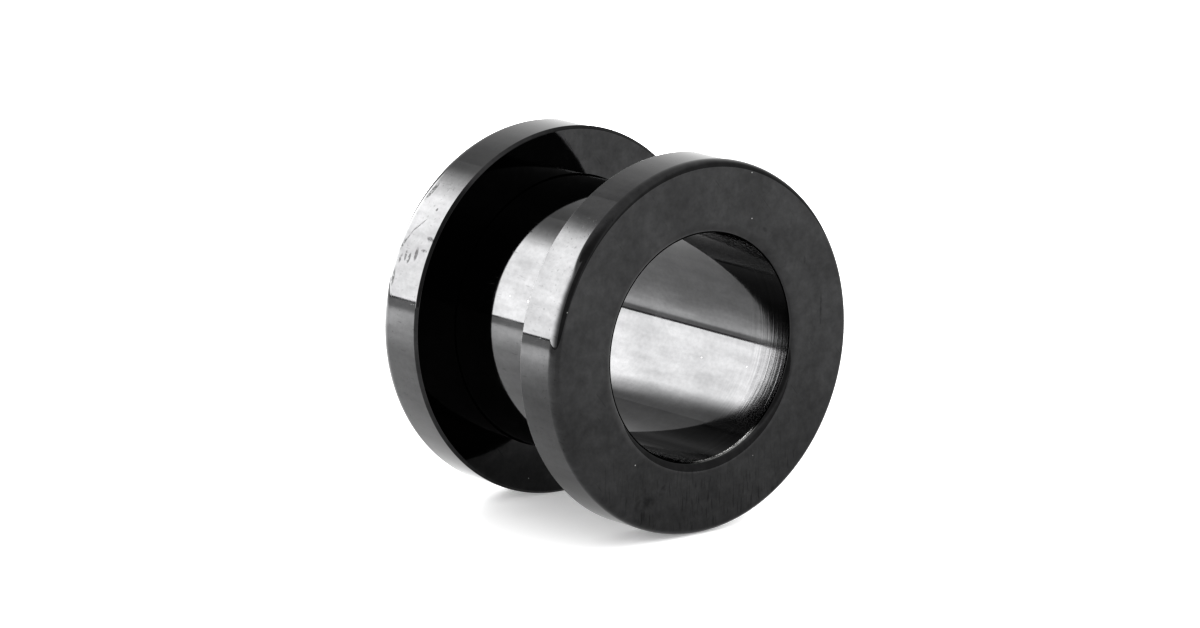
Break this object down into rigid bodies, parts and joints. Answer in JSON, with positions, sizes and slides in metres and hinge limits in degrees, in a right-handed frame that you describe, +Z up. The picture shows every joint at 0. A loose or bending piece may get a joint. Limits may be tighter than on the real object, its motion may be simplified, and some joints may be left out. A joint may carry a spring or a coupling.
{
  "type": "ear tunnel",
  "caption": "Polished black steel screw-fit ear tunnel: a spool with a straight barrel, an open bore and equal flat flanges, one of which unscrews.",
  "frame": {"origin": "on the surface that the two rims rest on, under the middle of the spool", "axes": "the tunnel's axis runs along Y, the display face looks towards -Y, the loose flange is at +Y, and +Z is up"},
  "size_m": [0.0136, 0.01, 0.0136],
  "materials": {
    "tunnel_body": "mirror polish under a black coating",
    "screw_flange": "mirror polish under a black coating"
  },
  "bodies": {
    "tunnel_body": {"tunnel_body": "tunnel_body"},
    "screw_flange": {"screw_flange": "screw_flange"}
  },
  "joints": [
    {"name": "flange_unscrew", "type": "slide", "parent": "tunnel_body", "child": "screw_flange", "axis": [0, 1, 0], "range_m": [0, 0.006]}
  ]
}
